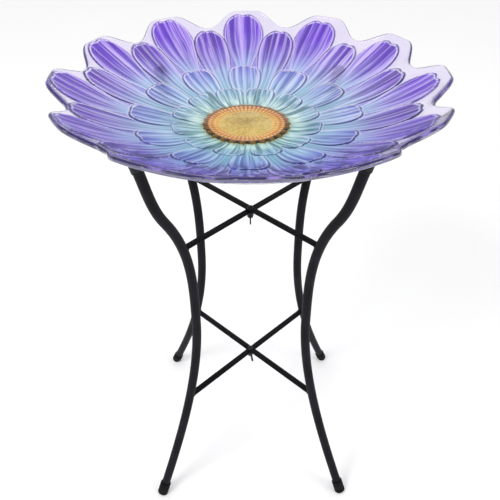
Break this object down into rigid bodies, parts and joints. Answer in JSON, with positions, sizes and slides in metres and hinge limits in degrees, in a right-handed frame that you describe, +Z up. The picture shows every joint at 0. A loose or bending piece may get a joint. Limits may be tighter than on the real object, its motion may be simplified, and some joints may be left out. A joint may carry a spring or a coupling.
{
  "type": "bird bath",
  "caption": "Flower-shaped glass dish resting loose on a black folding stand: two bent-tube frames crossed on a centre axis, joined by bolts and wing nuts.",
  "frame": {"origin": "on the floor, on the centre axis that the two frames of the stand cross and turn on", "axes": "+Z up; -Y is the front; frame A runs from back left to front right and frame B from back right to front left"},
  "size_m": [0.4572, 0.4572, 0.635],
  "materials": {
    "dish_glass": "clear pressed glass, painted purple to aqua on its underside, gold flower centre",
    "tube_coating": "satin black powder coat",
    "strip_coating": "satin black powder coat",
    "foot_rubber": "matt black",
    "cap_vinyl": "soft black vinyl",
    "fastener_black": "black zinc"
  },
  "bodies": {
    "frame_a": {"leg_back_left": "tube_coating", "leg_front_right": "tube_coating", "foot_cap_back_left": "foot_rubber", "foot_cap_front_right": "foot_rubber", "top_cap_back_left": "cap_vinyl", "top_cap_front_right": "cap_vinyl", "upper_crossbar_a": "strip_coating", "lower_crossbar_a": "strip_coating", "upper_pivot_bolt": "fastener_black", "lower_pivot_bolt": "fastener_black", "upper_pivot_washer": "fastener_black", "lower_pivot_washer": "fastener_black"},
    "frame_b": {"leg_back_right": "tube_coating", "leg_front_left": "tube_coating", "foot_cap_back_right": "foot_rubber", "foot_cap_front_left": "foot_rubber", "top_cap_back_right": "cap_vinyl", "top_cap_front_left": "cap_vinyl", "upper_crossbar_b": "strip_coating", "lower_crossbar_b": "strip_coating"},
    "dish": {"glass_dish": "dish_glass"},
    "upper_nut": {"upper_wing_nut": "fastener_black"},
    "lower_nut": {"lower_wing_nut": "fastener_black"}
  },
  "joints": [
    {"name": "stand_fold", "type": "hinge", "parent": "frame_a", "child": "frame_b", "pos_m": [0, 0, 0.1765], "axis": [0, 0, 1], "range_deg": [-82, 82]},
    {"name": "dish_lift", "type": "slide", "parent": "frame_a", "child": "dish", "axis": [0, 0, 1], "range_m": [0, 0.1]},
    {"name": "upper_nut_turn", "type": "hinge", "parent": "frame_a", "child": "upper_nut", "pos_m": [0, 0, 0.4458], "axis": [0, 0, 1], "continuous": true},
    {"name": "lower_nut_turn", "type": "hinge", "parent": "frame_a", "child": "lower_nut", "pos_m": [0, 0, 0.1765], "axis": [0, 0, 1], "continuous": true}
  ]
}
